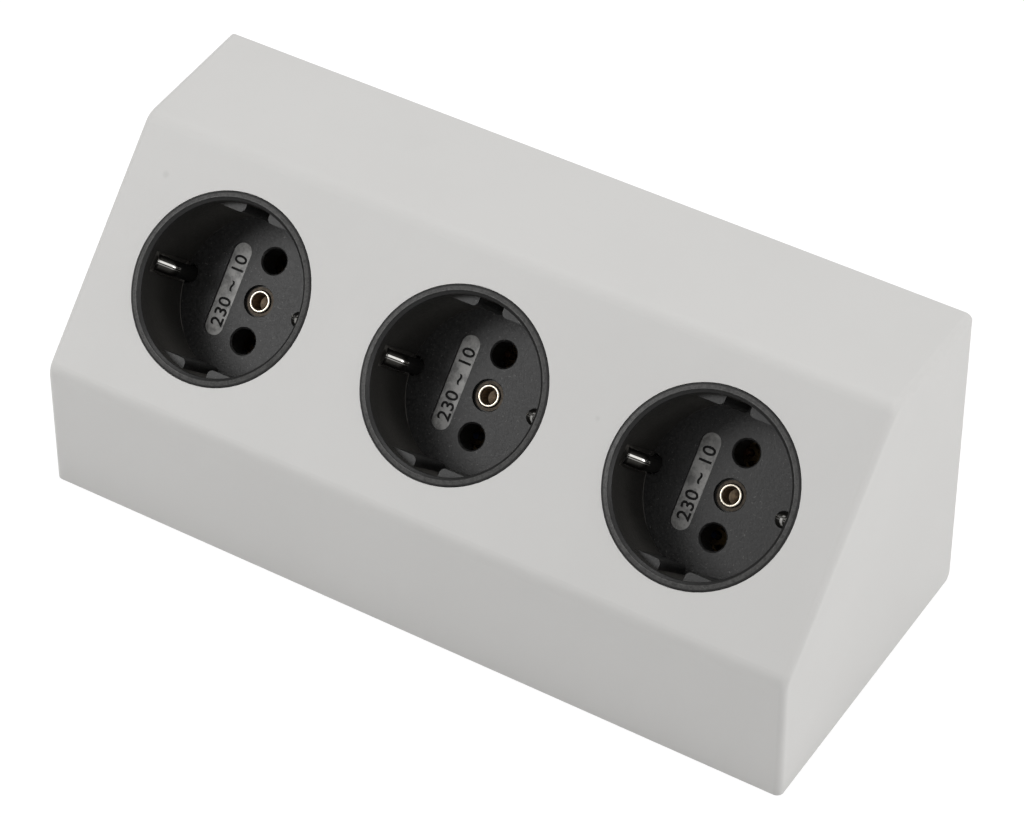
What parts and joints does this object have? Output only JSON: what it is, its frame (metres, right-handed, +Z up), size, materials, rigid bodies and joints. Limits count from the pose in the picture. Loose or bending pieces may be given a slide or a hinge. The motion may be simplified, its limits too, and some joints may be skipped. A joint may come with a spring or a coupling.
{
  "type": "desk socket strip",
  "caption": "Wedge-shaped desk power strip with round recessed sockets in a row on its sloping face, flat at the base and back.",
  "frame": {"origin": "middle of the footprint at the bottom of the housing", "axes": "+X along the strip to the right as seen from its front, +Y to its back, +Z up"},
  "size_m": [0.1876, 0.076, 0.076],
  "materials": {
    "housing_plastic": "fine matte, light grey",
    "base_plastic": "fine matte, light grey",
    "cup_plastic": "fine matte, charcoal",
    "carrier_plastic": "matte, grey",
    "contact_brass": "bright",
    "earth_metal": "bright plated",
    "rivet_metal": "bright plated",
    "screw_steel": "zinc plated",
    "grommet_rubber": "matte black",
    "line_wire": "brown insulation",
    "neutral_wire": "blue insulation",
    "earth_wire": "green insulation with a yellow stripe"
  },
  "bodies": {
    "root": {"housing": "housing_plastic", "base_bracket": "base_plastic", "cover_screws": "screw_steel", "cable_grommet": "grommet_rubber", "socket_cup_left": "cup_plastic", "contact_carrier_left": "carrier_plastic", "line_contact_left": "contact_brass", "neutral_contact_left": "contact_brass", "earth_bracket_left": "earth_metal", "centre_rivet_left": "rivet_metal", "socket_cup_middle": "cup_plastic", "contact_carrier_middle": "carrier_plastic", "line_contact_middle": "contact_brass", "neutral_contact_middle": "contact_brass", "earth_bracket_middle": "earth_metal", "centre_rivet_middle": "rivet_metal", "socket_cup_right": "cup_plastic", "contact_carrier_right": "carrier_plastic", "line_contact_right": "contact_brass", "neutral_contact_right": "contact_brass", "earth_bracket_right": "earth_metal", "centre_rivet_right": "rivet_metal", "line_jumper_left": "line_wire", "neutral_jumper_left": "neutral_wire", "earth_jumper_left": "earth_wire", "line_jumper_middle": "line_wire", "neutral_jumper_middle": "neutral_wire", "earth_jumper_middle": "earth_wire"}
  },
  "joints": []
}
